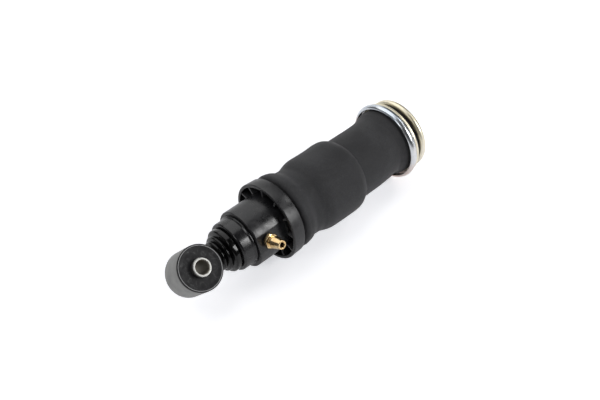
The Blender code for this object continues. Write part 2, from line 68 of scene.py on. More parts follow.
print("frame loaded:", len(frame["nodes"]), "nodes")

# Sizes below are in millimetres; meshes are built in metres.
# The damper's axis is +X with +Z up; a radius is the distance from a piece's own turning axis.
mm = 0.001
fullTurn = 2.0 * math.pi
sharpEdge = math.radians(38.0)    # faces that meet more steeply keep a sharp edge


def extent(node):
    # First and last X and the radius of a turned CAD node.
    low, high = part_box(node)
    return low.x / mm, high.x / mm, high.z / mm


def jointNamed(name):
    return next(joint for joint in frame["joints"] if joint["name"] == name)


# Mesh helpers.

def arcPoints(centreX, centreR, radius, startAngle, endAngle, steps=12):
    points = []
    for step in range(steps + 1):
        angle = math.radians(startAngle + (endAngle - startAngle) * step / steps)
        points.append((centreX + radius * math.cos(angle), centreR + radius * math.sin(angle)))
    return points


def filleted(corners, steps=6):
    # Each corner is (x, r) or (x, r, fillet); a fillet is never longer than half of its two sides.
    outline = []
    for index, corner in enumerate(corners):
        here = Vector(corner[:2])
        before = Vector(corners[index - 1][:2]) - here
        after = Vector(corners[(index + 1) % len(corners)][:2]) - here
        if len(corner) < 3 or corner[2] <= 0.0:
            outline.append(tuple(here))
            continue
        half = before.angle(after) / 2.0
        reach = min(corner[2] / math.tan(half), before.length * 0.49, after.length * 0.49)
        radius = reach * math.tan(half)
        centre = here + (before.normalized() + after.normalized()).normalized() * radius / math.sin(half)
        start = here + before.normalized() * reach - centre
        end = here + after.normalized() * reach - centre
        startAngle = math.atan2(start.y, start.x)
        sweep = math.remainder(math.atan2(end.y, end.x) - startAngle, fullTurn)
        for step in range(steps + 1):
            angle = startAngle + sweep * step / steps
            outline.append((centre.x + radius * math.cos(angle), centre.y + radius * math.sin(angle)))
    return outline


def divided(outline, longest):
    # Splits the outline's long sides, so that a reshaped piece has points to move.
    points = []
    for index, here in enumerate(outline):
        there = outline[(index + 1) % len(outline)]
        parts = max(1, math.ceil(math.dist(here, there) / longest))
        for part in range(parts):
            share = part / parts
            points.append((here[0] + (there[0] - here[0]) * share, here[1] + (there[1] - here[1]) * share))
    return points


def smoothCurve(stations, steps):
    # Catmull-Rom curve through the stations.
    points = [Vector(station) for station in stations]
    padded = [points[0] * 2.0 - points[1]] + points + [points[-1] * 2.0 - points[-2]]
    curve = []
    for before, here, there, after in zip(padded, padded[1:], padded[2:], padded[3:]):
        for step in range(steps):
            t = step / steps
            bend = (before * 2.0 - here * 5.0 + there * 4.0 - after) * t * t
            twist = (here * 3.0 - before - there * 3.0 + after) * t * t * t
            curve.append((here * 2.0 + (there - before) * t + bend + twist) / 2.0)
    curve.append(points[-1])
    return curve


def meshPiece(name, shape, placement=None):
    bmesh.ops.remove_doubles(shape, verts=shape.verts, dist=1e-7)
    bmesh.ops.recalc_face_normals(shape, faces=shape.faces)
    mesh = bpy.data.meshes.new(name)
    shape.to_mesh(mesh)
    shape.free()
    mesh.shade_smooth()
    mesh.set_sharp_from_angle(angle=sharpEdge)
    piece = bpy.data.objects.new(name, mesh)
    bpy.context.scene.collection.objects.link(piece)
    if placement:
        piece.matrix_world = placement
    return piece


def turnedShape(outline, segments, reshape=None):
    # Spins a closed outline of (x, r) round X. reshape moves each point of the finished surface.
    shape = bmesh.new()
    rings = []
    for segment in range(segments):
        angle = fullTurn * segment / segments
        ring = []
        for x, r in outline:
            point = Vector((x, -r * math.sin(angle), r * math.cos(angle)))
            if reshape:
                point = reshape(point)
            ring.append(shape.verts.new(point * mm))
        rings.append(ring)
    for segment in range(segments):
        ring = rings[segment]
        nextRing = rings[(segment + 1) % segments]
        for index in range(len(outline)):
            following = (index + 1) % len(outline)
            if outline[index][1] == 0.0 and outline[following][1] == 0.0:
                continue
            shape.faces.new([ring[index], ring[following], nextRing[following], nextRing[index]])
    return shape


def turnedPiece(name, outline, segments=144, placement=None, reshape=None):
    return meshPiece(name, turnedShape(outline, segments, reshape), placement)


def milled(point, direction, distance, start, end, soft=0.25):
    # Brings a point down to a flat at that distance from the axis, with a slightly rounded border.
    if not start <= point.x <= end:
        return point
    excess = point.dot(direction) - distance
    if excess <= -soft:
        return point
    kept = 0.0 if excess >= soft else excess - (excess + soft) ** 2 / (4.0 * soft)
    return point + direction * (kept - excess)


def booleanApplied(piece, tool, operation):
    modifier = piece.modifiers.new(operation, "BOOLEAN")
    modifier.operation = operation
    modifier.object = tool
    modifier.solver = "EXACT"
    evaluated = piece.evaluated_get(bpy.context.evaluated_depsgraph_get())
    mesh = bpy.data.meshes.new_from_object(evaluated)
    piece.modifiers.clear()
    piece.data = mesh
    mesh.set_sharp_from_angle(angle=sharpEdge)
    bpy.data.objects.remove(tool, do_unlink=True)
    return piece


def bell(value, centre, width):
    return math.exp(-((value - centre) / width) ** 2)


def eased(value, start, end):
    t = min(1.0, max(0.0, (value - start) / (end - start)))
    return t * t * (3.0 - 2.0 * t)


# Material helpers, then one function for each real finish.

def linearColour(hexText):
    channels = [int(hexText[place:place + 2], 16) / 255.0 for place in (1, 3, 5)]
    linear = [c / 12.92 if c <= 0.04045 else ((c + 0.055) / 1.055) ** 2.4 for c in channels]
    return (*linear, 1.0)


def addNode(tree, kind, settings=None, links=None):
    # Adds one shader node. "stops" fills a colour ramp with (position, hex) pairs.
    node = tree.nodes.new("ShaderNode" + kind)
    for name, value in (settings or {}).items():
        if name == "stops":
            ramp = node.color_ramp
            while len(ramp.elements) < len(value):
                ramp.elements.new(0.5)
            for element, (position, hexText) in zip(ramp.elements, value):
                element.position = position
                element.color = linearColour(hexText)
        elif isinstance(name, str) and hasattr(node, name):
            setattr(node, name, value)
        else:
            node.inputs[name].default_value = value
    for name, socket in (links or {}).items():
        tree.links.new(socket, node.inputs[name])
    return node


def newMaterial(name, settings):
    material = bpy.data.materials.new(name)
    material.use_nodes = True
    tree = material.node_tree
    shader = tree.nodes["Principled BSDF"]
    for socket, value in settings.items():
        shader.inputs[socket].default_value = value
    place = addNode(tree, "TexCoord")
    return material, tree, shader, place.outputs["Object"]


def feed(tree, shader, sockets):
    # Links outputs to the shader's inputs, which are named as Blender names them.
    for name, output in sockets.items():
        tree.links.new(output, shader.inputs[name])


def stretched(low, high):
    # Settings of a Map Range that spreads the middle of a noise over low to high.
    return {"From Min": 0.3, "From Max": 0.7, "To Min": low, "To Max": high}


def axisParts(tree, place):
    # X and the radius of a piece turned about its own X.
    parts = addNode(tree, "SeparateXYZ", links={"Vector": place})
    across = addNode(tree, "CombineXYZ", links={"X": parts.outputs["Y"], "Y": parts.outputs["Z"]})
    radius = addNode(tree, "VectorMath", {"operation": "LENGTH"}, {0: across.outputs[0]})
    return parts.outputs["X"], radius.outputs["Value"]


def turnedCoordinates(tree, place):
    # X and the radius as one vector, so that a noise in it draws tool marks.
    x, radius = axisParts(tree, place)
    return addNode(tree, "CombineXYZ", links={"X": x, "Y": radius}).outputs[0]


def radiusShare(tree, place, start, end):
    # 0 inside the start radius of a turned piece, 1 outside the end radius.
    radius = axisParts(tree, place)[1]
    limits = {"From Min": start * mm, "From Max": end * mm}
    return addNode(tree, "MapRange", limits, {"Value": radius}).outputs[0]


def phosphatedSteel():
    # Steel tube cut to length and phosphated: an even mid grey, fine-crystalled, with little gloss.
    material, tree, shader, place = newMaterial("phosphatedSteel", {"Metallic": 0.85})
    cloud = addNode(tree, "TexNoise", {"Scale": 1.0 / (14.0 * mm), "Detail": 5.0, "Roughness": 0.6},
                    {"Vector": place})
    colour = addNode(tree, "ValToRGB", {"stops": [(0.3, "#888887"), (0.52, "#999997"), (0.72, "#a5a5a3")]},
                     {"Fac": cloud.outputs[0]})
    crystals = addNode(tree, "TexNoise", {"Scale": 1.0 / (0.5 * mm), "Detail": 3.0}, {"Vector": place})
    marks = addNode(tree, "TexNoise", {"Scale": 1.0 / (0.7 * mm), "Detail": 2.0},
                    {"Vector": turnedCoordinates(tree, place)})
    roughness = addNode(tree, "MapRange", {"To Min": 0.40, "To Max": 0.60}, {"Value": cloud.outputs[0]})
    height = addNode(tree, "Math", {"operation": "ADD"}, {0: crystals.outputs[0], 1: marks.outputs[0]})
    bump = addNode(tree, "Bump", {"Strength": 0.35, "Distance": 0.02 * mm}, {"Height": height.outputs[0]})
    feed(tree, shader, {"Base Color": colour.outputs[0], "Roughness": roughness.outputs[0],
                        "Normal": bump.outputs[0]})
    return material


def mouldedRubber(name, stops, roughLow, roughHigh, smudge, specular, rim=None):
    # Natural rubber pressed in a steel mould: near black, half matt, with handling smudges. Just inside the
    # rim radius a pale ring is painted on as a highlight on the lip's rounded shoulder; outside it the
    # rubber is black and shinier.
    material, tree, shader, place = newMaterial(name, {"Specular IOR Level": specular})
    cloud = addNode(tree, "TexNoise", {"Scale": 1.0 / (smudge * mm), "Detail": 6.0, "Roughness": 0.62,
                                       "Distortion": 1.4}, {"Vector": place})
    colour = addNode(tree, "ValToRGB", {"stops": stops}, {"Fac": cloud.outputs[0]})
    roughness = addNode(tree, "MapRange", stretched(roughHigh, roughLow), {"Value": cloud.outputs[0]})
    grain = addNode(tree, "TexNoise", {"Scale": 1.0 / (0.6 * mm), "Detail": 4.0}, {"Vector": place})
    bump = addNode(tree, "Bump", {"Strength": 0.3, "Distance": 0.03 * mm}, {"Height": grain.outputs[0]})
    surface = colour.outputs[0]
    gloss = roughness.outputs[0]
    if rim:
        # The pale ring is a painted highlight on the lip's rounded shoulder; outside the rim radius the
        # colour turns black.
        rimHighlight = radiusShare(tree, place, rim - 0.9, rim - 0.7)
        outside = radiusShare(tree, place, rim - 0.1, rim + 0.1)
        for share, hexText in ((rimHighlight, "#9c9c9d"), (outside, "#0c0c0d")):
            surface = addNode(tree, "Mix", {"data_type": "RGBA", 7: linearColour(hexText)},
                              {0: share, 6: surface}).outputs[2]
        gloss = addNode(tree, "Mix", {3: 0.32}, {0: rimHighlight, 2: gloss}).outputs[0]
    feed(tree, shader, {"Base Color": surface, "Roughness": gloss, "Normal": bump.outputs[0]})
    return material


def turnedMetal(name, stops, roughLow, roughHigh, pitch, depth, bore=None):
    # Metal cut on a lathe: the tool leaves fine rings that break up the gloss round the axis.
    # Inside the bore radius the metal keeps the dull, slightly warm skin of the raw tube.
    material, tree, shader, place = newMaterial(name, {"Metallic": 1.0})
    rings = addNode(tree, "TexNoise", {"Scale": 1.0 / (pitch * mm), "Detail": 3.0, "Roughness": 0.7},
                    {"Vector": turnedCoordinates(tree, place)})
    cloud = addNode(tree, "TexNoise", {"Scale": 1.0 / (6.0 * mm), "Detail": 4.0}, {"Vector": place})
    mixed = addNode(tree, "Mix", {0: 0.35}, {2: cloud.outputs[0], 3: rings.outputs[0]})
    colour = addNode(tree, "ValToRGB", {"stops": stops}, {"Fac": mixed.outputs[0]})
    roughness = addNode(tree, "MapRange", stretched(roughLow, roughHigh), {"Value": mixed.outputs[0]})
    bump = addNode(tree, "Bump", {"Strength": 0.4, "Distance": depth * mm}, {"Height": rings.outputs[0]})
    surface = colour.outputs[0]
    gloss = roughness.outputs[0]
    if bore:
        outside = radiusShare(tree, place, bore - 0.1, bore + 0.1)
        surface = addNode(tree, "Mix", {"data_type": "RGBA", 6: linearColour("#9a968c")},
                          {0: outside, 7: surface}).outputs[2]
        gloss = addNode(tree, "Mix", {2: 0.6}, {0: outside, 3: gloss}).outputs[0]
    feed(tree, shader, {"Base Color": surface, "Roughness": gloss, "Normal": bump.outputs[0]})
    return material


def stovedEnamel():
    # Black enamel sprayed and stoved: a wet gloss with slight orange peel and a few dust nibs.
    material, tree, shader, place = newMaterial("stovedEnamel", {
        "Coat Weight": 1.0, "Coat Roughness": 0.08, "Coat IOR": 1.36, "IOR": 1.5,
        "Specular IOR Level": 0.05})
    dust = addNode(tree, "TexNoise", {"Scale": 1.0 / (9.0 * mm), "Detail": 6.0}, {"Vector": place})
    colour = addNode(tree, "ValToRGB", {"stops": [(0.35, "#030303"), (0.62, "#060606"), (0.8, "#111112")]},
                     {"Fac": dust.outputs[0]})
    roughness = addNode(tree, "MapRange", {"To Min": 0.22, "To Max": 0.42}, {"Value": dust.outputs[0]})
    peel = addNode(tree, "TexNoise", {"Scale": 1.0 / (2.2 * mm), "Detail": 1.5}, {"Vector": place})
    bump = addNode(tree, "Bump", {"Strength": 0.35, "Distance": 0.04 * mm}, {"Height": peel.outputs[0]})
    feed(tree, shader, {"Base Color": colour.outputs[0], "Roughness": roughness.outputs[0],
                        "Normal": bump.outputs[0], "Coat Normal": bump.outputs[0]})
    return material


def glassFilledNylon(name, stops, roughLow, roughHigh):
    # Injection-moulded nylon with glass fibre: fibres mottle the gloss; sharp edges are lighter, partly
    # scuffing and partly a painted highlight.
    material, tree, shader, place = newMaterial(name, {"IOR": 1.53})
    flow = addNode(tree, "TexNoise", {"Scale": 1.0 / (16.0 * mm), "Detail": 7.0, "Roughness": 0.68,
                                      "Distortion": 0.9}, {"Vector": place})
    colour = addNode(tree, "ValToRGB", {"stops": stops}, {"Fac": flow.outputs[0]})
    geometry = addNode(tree, "NewGeometry")
    # Sharp edges are lightened: partly scuffing, partly a painted highlight on their rounding.
    edge = addNode(tree, "MapRange", {"From Min": 0.53, "From Max": 0.62, "To Max": 0.45},
                   {"Value": geometry.outputs["Pointiness"]})
    scuffAndHighlight = addNode(tree, "Mix", {"data_type": "RGBA", 7: linearColour("#77777a")},
                      {0: edge.outputs[0], 6: colour.outputs[0]})
    roughness = addNode(tree, "MapRange", stretched(roughLow, roughHigh), {"Value": flow.outputs[0]})
    fibres = addNode(tree, "TexNoise", {"Scale": 1.0 / (0.9 * mm), "Detail": 3.0}, {"Vector": place})
    bump = addNode(tree, "Bump", {"Strength": 0.35, "Distance": 0.03 * mm}, {"Height": fibres.outputs[0]})
    feed(tree, shader, {"Base Color": scuffAndHighlight.outputs[2], "Roughness": roughness.outputs[0],
                        "Normal": bump.outputs[0]})
    return material


def calenderedRubber():
    # Cord-reinforced chloroprene, rolled into sheet and cured on a mandrel: matt charcoal with a
    # fine cloth grain, drawn about twice its real pitch so that it shows, and a dusty bloom in patches.
    material, tree, shader, place = newMaterial(
        "calenderedRubber", {"Specular IOR Level": 0.35, "Sheen Weight": 0.12, "Sheen Roughness": 0.5})
    bloom = addNode(tree, "TexNoise", {"Scale": 1.0 / (38.0 * mm), "Detail": 7.0, "Roughness": 0.6,
                                       "Distortion": 0.7}, {"Vector": place})
    grain = addNode(tree, "TexNoise", {"Scale": 1.0 / (1.1 * mm), "Detail": 2.0}, {"Vector": place})
    mixed = addNode(tree, "Mix", {0: 0.38}, {2: bloom.outputs[0], 3: grain.outputs[0]})
    colour = addNode(tree, "ValToRGB", {"stops": [(0.37, "#262628"), (0.5, "#2f2f31"), (0.63, "#3a3a3c")]},
                     {"Fac": mixed.outputs[0]})
    roughness = addNode(tree, "MapRange", {"To Min": 0.62, "To Max": 0.86}, {"Value": bloom.outputs[0]})
    bump = addNode(tree, "Bump", {"Strength": 0.45, "Distance": 0.05 * mm}, {"Height": grain.outputs[0]})
    feed(tree, shader, {"Base Color": colour.outputs[0], "Roughness": roughness.outputs[0],
                        "Normal": bump.outputs[0]})
    return material


def zincPlate(name, stops, roughLow, roughHigh):
    # Zinc plated steel with a chromate passivate: bright, and tinted in patches where the film varies.
    material, tree, shader, place = newMaterial(name, {"Metallic": 1.0})
    film = addNode(tree, "TexNoise", {"Scale": 1.0 / (26.0 * mm), "Detail": 3.0, "Distortion": 0.6},
                   {"Vector": place})
    # The tint also shifts with height, towards the ramp's last stop lower down, which is pinker on the
    # clear zinc.
    parts = addNode(tree, "SeparateXYZ", links={"Vector": place})
    heightTint = addNode(tree, "MapRange", {"From Min": 45.0 * mm, "From Max": -25.0 * mm, "To Min": 0.36,
                                     "To Max": 0.72}, {"Value": parts.outputs["Z"]})
    tint = addNode(tree, "Mix", {0: 0.6}, {2: film.outputs[0], 3: heightTint.outputs[0]})
    colour = addNode(tree, "ValToRGB", {"stops": stops}, {"Fac": tint.outputs[0]})
    drawn = addNode(tree, "TexNoise", {"Scale": 1.0 / (1.3 * mm), "Detail": 2.0},
                    {"Vector": turnedCoordinates(tree, place)})
    roughness = addNode(tree, "MapRange", stretched(roughLow, roughHigh), {"Value": drawn.outputs[0]})
    bump = addNode(tree, "Bump", {"Strength": 0.25, "Distance": 0.02 * mm}, {"Height": drawn.outputs[0]})
    feed(tree, shader, {"Base Color": colour.outputs[0], "Roughness": roughness.outputs[0],
                        "Normal": bump.outputs[0]})
    return material


def cellularPolymer(name, stops, cell, roughness):
    # Foamed or sintered polymer: dull, with the skin's small closed cells.
    material, tree, shader, place = newMaterial(name, {"Roughness": roughness})
    cells = addNode(tree, "TexVoronoi", {"Scale": 1.0 / (cell * mm)}, {"Vector": place})
    cloud = addNode(tree, "TexNoise", {"Scale": 1.0 / (8.0 * mm), "Detail": 4.0}, {"Vector": place})
    colour = addNode(tree, "ValToRGB", {"stops": stops}, {"Fac": cloud.outputs[0]})
    bump = addNode(tree, "Bump", {"Strength": 0.4, "Distance": 0.1 * mm}, {"Height": cells.outputs[0]})
    feed(tree, shader, {"Base Color": colour.outputs[0], "Normal": bump.outputs[0]})
    return material


finishes = {
    "eye_steel": phosphatedSteel(),
    "bush_rubber": mouldedRubber(
        "mouldedNaturalRubber", [(0.36, "#18181a"), (0.55, "#202022"), (0.72, "#454546")], 0.42, 0.62, 7.0,
        0.28, 23.85),
    "bush_steel": turnedMetal(
        "sawnSteelTube", [(0.3, "#999996"), (0.55, "#a9a9a6"), (0.75, "#b9b9b6")], 0.34, 0.46, 0.5, 0.02,
        7.9),
    "gloss_black_paint": stovedEnamel(),
    "collar_plastic": glassFilledNylon(
        "collarNylon", [(0.36, "#121214"), (0.55, "#18181a"), (0.72, "#28282a")], 0.16, 0.34),
    "housing_plastic": glassFilledNylon(
        "housingNylon", [(0.36, "#1a1a1c"), (0.55, "#212123"), (0.72, "#323234")], 0.18, 0.46),
    "nipple_brass": turnedMetal(
        "turnedBrass", [(0.3, "#d8b277"), (0.55, "#f2d5a3"), (0.75, "#fff0cd")], 0.18, 0.3, 0.45, 0.015),
    "sleeve_rubber": calenderedRubber(),
    "clear_zinc": zincPlate(
        "clearPassivatedZinc", [(0.38, "#d3dce6"), (0.5, "#e4e6e8"), (0.64, "#f0dcd2")], 0.2, 0.32),
    "yellow_zinc": zincPlate(
        "yellowPassivatedZinc", [(0.38, "#f8efd2"), (0.5, "#fbf4de"), (0.64, "#f4efe2")], 0.34, 0.48),
    "seal_rubber": mouldedRubber(
        "nitrileRubber", [(0.34, "#0c0c0d"), (0.55, "#101011"), (0.72, "#181819")], 0.5, 0.66, 6.0, 0.2),
    "hard_chrome": turnedMetal(
        "groundHardChrome", [(0.3, "#c4c8cc"), (0.55, "#d2d6da"), (0.75, "#dfe2e5")], 0.08, 0.14, 0.3,
        0.004),
    "valve_steel": turnedMetal(
        "sinteredSteel", [(0.3, "#6e6e6d"), (0.55, "#858583"), (0.75, "#9a9a97")], 0.34, 0.5, 0.8, 0.02),
    "ptfe": cellularPolymer(
        "bronzeFilledFluoropolymer", [(0.3, "#7a6a4e"), (0.55, "#8b7a5a"), (0.75, "#9a8a68")], 0.4, 0.42),
    "urethane": cellularPolymer(
        "cellularUrethane", [(0.3, "#b59a62"), (0.55, "#c6ac74"), (0.75, "#d3bb86")], 0.8, 0.66),
}
print("materials made:", len(finishes))


def dress(piece, slot, body, *nodes):
    # Gives a piece its finish, hides the CAD nodes that it stands for, and lets it ride on its body.
    piece.data.materials.clear()
    piece.data.materials.append(finishes[slot])
    if body:
        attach(piece, body)
    if nodes:
        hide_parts(*nodes)
    return piece


# The lower eye: its ring, the bonded rubber and the inner sleeve.

eye = {
    "radius": 25.0, "wall": 3.2, "back": -19.0, "front": 17.0, "edge": 0.7,
    "gap": 0.3, "lip": 2.5, "lipRound": 1.1, "groove": 0.35, "beadRadius": 23.6, "dish": 0.7,
    "rearInset": 0.8, "rearDish": 2.4,
    "sleeveRadius": 10.0, "boreRadius": 7.25, "sleeveHalf": 25.5, "chamfer": 0.7,
}
eyeAxis = Vector(jointNamed("eye_bush_twist")["axis"])
eyeFrame = eyeAxis.to_track_quat("X", "Z").to_matrix().to_4x4()


def makeEye():
    ringBore = eye["radius"] - eye["wall"]
    ring = filleted([
        (eye["back"], ringBore, 0.3), (eye["back"], eye["radius"], eye["edge"]),
        (eye["front"], eye["radius"], eye["edge"]), (eye["front"], ringBore, 0.3)])
    dress(turnedPiece("eyeRing", ring, 160, eyeFrame), "eye_steel", "lower_body", "eye_ring")

    seat = eye["front"] + eye["gap"]
    face = seat + eye["lip"]
    inner = eye["sleeveRadius"] + 0.1
    body = ringBore - eye["gap"]
    rear = eye["back"] + eye["rearInset"]
    rubber = filleted([
        (rear, inner, 0.4), (eye["back"] + eye["rearDish"], (inner + body) / 2.0, 4.0),
        (rear, body, 0.6), (seat, body), (seat, eye["radius"] - 0.1, 0.4),
        (face - 0.2, eye["radius"] - 0.1, eye["lipRound"]), (face, eye["beadRadius"] + 0.5, 0.3),
        (face - eye["groove"], eye["beadRadius"], 0.3), (face - 0.1, eye["beadRadius"] - 0.7, 0.3),
        (face - eye["dish"], eye["beadRadius"] - 4.5, 3.0), (face - eye["dish"], inner + 3.0, 2.0),
        (face - 0.2, inner, 0.5)])
    dress(turnedPiece("bushRubber", rubber, 160, eyeFrame), "bush_rubber", "lower_body", "eye_bush_rubber")

    half = eye["sleeveHalf"]
    cut = eye["chamfer"]
    sleeve = filleted([
        (-half, eye["boreRadius"] + cut, 0.15), (-half, eye["sleeveRadius"] - 0.5, 0.15),
        (-half + 0.5, eye["sleeveRadius"], 0.15), (half - 0.5, eye["sleeveRadius"], 0.15),
        (half, eye["sleeveRadius"] - 0.5, 0.15), (half, eye["boreRadius"] + cut, 0.15),
        (half - cut, eye["boreRadius"], 0.15), (-half + cut, eye["boreRadius"], 0.15)], 3)
    dress(turnedPiece("bushSleeve", sleeve, 96, eyeFrame), "bush_steel", "bush_core", "eye_bush_sleeve")


makeEye()
print("lower eye made")


# The end cap of the damper tube, and the weld that joins it to the eye.

cap = {
    "eyeGap": 0.15, "neckStart": 16.0, "neckRadius": 13.5, "neckEnd": 26.1, "neckFillet": 1.0,
    "ridges": ((29.5, 17.0), (34.2, 20.4)), "ridgeRound": 1.9,
    "front": 37.4, "end": 44.8, "radius": 24.7, "corner": 2.6, "rearCorner": 1.6,
    "socket": 22.8, "socketFloor": 40.1,
    "weldThroat": 1.5, "weldRipples": 46, "rippleShare": 0.16, "weldWander": 0.12, "weldRise": 0.25,
}


def saddleX(y, z, radius):
    # Where a line parallel to X leaves a cylinder of that radius round the eye's axis.
    across = eyeAxis.cross(Vector((1.0, 0.0, 0.0))).dot(Vector((0.0, y, z)))
    return math.sqrt(radius ** 2 - across ** 2)


def makeEndCap():
    outline = [(cap["neckStart"], 0.0)]
    outline += [(cap["neckStart"], cap["neckRadius"] * share / 6.0) for share in range(1, 7)]
    fillet = cap["neckFillet"]
    outline += arcPoints(cap["neckEnd"], cap["neckRadius"] + fillet, fillet, 270.0, 330.0, 5)
    rounding = cap["ridgeRound"]
    for x, r in cap["ridges"]:
        outline += arcPoints(x, r - rounding, rounding, 172.0, 22.0, 14)
    corner = cap["corner"]
    outline += arcPoints(cap["front"] + corner, cap["radius"] - corner, corner, 180.0, 90.0, 10)
    corner = cap["rearCorner"]
    outline += arcPoints(cap["end"] - corner, cap["radius"] - corner, corner, 90.0, 10.0, 8)
    outline += [(cap["end"], cap["socket"]), (cap["socketFloor"], cap["socket"]), (cap["socketFloor"], 0.0)]
    reach = eye["radius"] + cap["eyeGap"]

    def saddle(point):
        # Only the neck's first points lie as low as this; they move out to the eye's surface.
        if point.x < cap["neckStart"] + 1.0:
            point.x = saddleX(point.y, point.z, reach)
        return point

    dress(turnedPiece("endCap", outline, 160, None, saddle), "gloss_black_paint", "lower_body",
          "damper_end_cap")


def makeWeld():
    # A fillet weld round the neck: a small round section swept along the saddle, with ripples.
    shape = bmesh.new()
    around = 184
    section = 10
    rings = []
    for step in range(around):
        angle = fullTurn * step / around
        outward = Vector((0.0, math.cos(angle), math.sin(angle)))
        ripple = abs(math.sin(cap["weldRipples"] * angle / 2.0))
        wander = cap["weldWander"] * noise.noise(outward * 3.0)
        throat = cap["weldThroat"] * (0.9 + cap["rippleShare"] * ripple + wander)
        root = outward * cap["neckRadius"]
        root.x = saddleX(root.y, root.z, eye["radius"]) + cap["weldRise"]
        ring = []
        for part in range(section):
            turn = fullTurn * part / section
            along = Vector((throat * math.sin(turn), 0.0, 0.0))
            ring.append(shape.verts.new((root + outward * throat * math.cos(turn) + along) * mm))
        rings.append(ring)
    for step in range(around):
        ring = rings[step]
        nextRing = rings[(step + 1) % around]
        for part in range(section):
            following = (part + 1) % section
            shape.faces.new([ring[part], ring[following], nextRing[following], nextRing[part]])
    dress(meshPiece("eyeWeld", shape), "gloss_black_paint", "lower_body")


makeEndCap()
makeWeld()
print("end cap and weld made")


# The collar, the air housing and the ribbed cup.

collar = {"hole": 22.8, "frontRound": 2.4, "flareStart": 3.4, "flareEdge": 1.9, "flare": 1.4}
housing = {
    "hole": 22.8, "bore": 26.0, "lip": 3.3, "edge": 1.2, "spigot": 28.3,
    "land": 31.8, "landEnd": 101.5, "landStep": 0.2, "landSoft": 0.12,
    "threadHole": 4.9, "drillStart": 20.0, "drillEnd": 40.0,
}
cup = {
    "hole": 33.4, "inner": 42.4, "web": 112.5, "edge": 1.1, "rearRadius": 45.1,
    "groove": 2.0, "grooveRadius": 42.6,
    "ribs": 12, "firstRib": 20.0, "ribThickness": 1.5, "ribFront": 100.2, "ribFoot": 100.8,
    "ribCorner": 0.6, "ribBite": 0.7,    # how far a rib runs into the wall and the web
}
nippleX = 77.0
nippleLean = 67.5    # degrees from straight up, towards -Y
nippleDirection = Matrix.Rotation(math.radians(nippleLean), 3, "X") @ Vector((0.0, 0.0, 1.0))
nippleFrame = (
    Matrix.Translation((nippleX * mm, 0.0, 0.0)) @ Matrix.Rotation(math.radians(nippleLean), 4, "X")
    @ Matrix.Rotation(-math.pi / 2.0, 4, "Y"))


def makeCollar():
    start, end, radius = extent("housing_collar")
    flare = radius + collar["flare"]
    outline = filleted([
        (start, collar["hole"], 0.4), (start, radius, collar["frontRound"]),
        (end - collar["flareStart"], radius, 0.9), (end - collar["flareEdge"], flare, 0.7),
        (end, flare, 0.6), (end, collar["hole"], 0.3)], 8)
    dress(turnedPiece("housingCollar", outline, 160), "collar_plastic", "lower_body", "housing_collar")


def makeHousing():
    start, end, radius = extent("air_housing")
    web = extent("ribbed_cup")[1]
    lipEnd = start + housing["lip"]
    outline = filleted([
        (start, housing["hole"], 0.3), (start, radius, housing["edge"]),
        (housing["landEnd"], radius), (housing["landEnd"] + housing["landStep"], radius),
        (web, radius, 0.4), (web, housing["spigot"], 0.6), (end, housing["spigot"], 0.8),
        (end, housing["bore"], 0.4), (lipEnd, housing["bore"], 0.4), (lipEnd, housing["hole"], 0.3)])

    landEnd = housing["landEnd"] + housing["landStep"] / 2.0

    def land(point):
        return milled(point, nippleDirection, housing["land"], start - 1.0, landEnd, housing["landSoft"])

    shell = turnedPiece("airHousing", divided(outline, 4.0), 240, None, land)
    drill = [(housing["drillStart"], 0.0), (housing["drillStart"], housing["threadHole"]),
             (housing["drillEnd"], housing["threadHole"]), (housing["drillEnd"], 0.0)]
    booleanApplied(shell, turnedPiece("drill", drill, 48, nippleFrame), "DIFFERENCE")
    dress(shell, "housing_plastic", "lower_body", "air_housing")


def makeCup():
    start, end, radius = extent("ribbed_cup")
    outline = filleted([
        (cup["web"], cup["hole"]), (cup["web"], cup["inner"], 1.0), (start, cup["inner"], 0.45),
        (start, radius, cup["edge"]), (end - cup["groove"], cup["rearRadius"], 0.6),
        (end - cup["groove"], cup["grooveRadius"], 0.3), (end, cup["grooveRadius"], 0.3),
        (end, cup["hole"], 0.3)])
    ring = turnedPiece("ribbedCup", outline, 192)
    shape = bmesh.new()
    low = cup["hole"] + 0.1
    high = cup["inner"] + cup["ribBite"]
    back = cup["web"] + cup["ribBite"]
    side = [(cup["ribFront"], high), (cup["ribFront"], cup["inner"] - cup["ribCorner"]),
            (cup["ribFoot"], low), (back, low), (back, high)]
    for index in range(cup["ribs"]):
        angle = math.radians(cup["firstRib"] + 360.0 * index / cup["ribs"])
        outward = Vector((0.0, math.cos(angle), math.sin(angle)))
        along = Vector((0.0, -math.sin(angle), math.cos(angle))) * cup["ribThickness"] / 2.0
        faces = []
        for offset in (along, -along):
            places = [Vector((x, 0.0, 0.0)) + outward * r + offset for x, r in side]
            faces.append([shape.verts.new(place * mm) for place in places])
        shape.faces.new(faces[0])
        shape.faces.new(faces[1][::-1])
        for corner in range(len(side)):
            following = (corner + 1) % len(side)
            shape.faces.new([faces[0][corner], faces[1][corner], faces[1][following], faces[0][following]])
    booleanApplied(ring, meshPiece("ribs", shape), "UNION")
    dress(ring, "housing_plastic", "lower_body", "ribbed_cup")


makeCollar()
makeHousing()
makeCup()
print("collar, housing and cup made")


# The brass hose nipple and its sealing ring.

nipple = {
    "seal": (32.1, 33.3), "sealRadius": 7.0, "threadStart": 26.5, "threadRadius": 4.5,
    "hexStart": 33.6, "hexEnd": 38.2, "hexAcross": 15.0, "hexInset": 0.05, "hexSoft": 0.08, "chamfer": 0.75,
    "neckRadius": 5.8, "barbStart": 42.7, "barbRadius": 6.8, "tip": 54.4, "tipRadius": 4.8, "bore": 2.8,
}


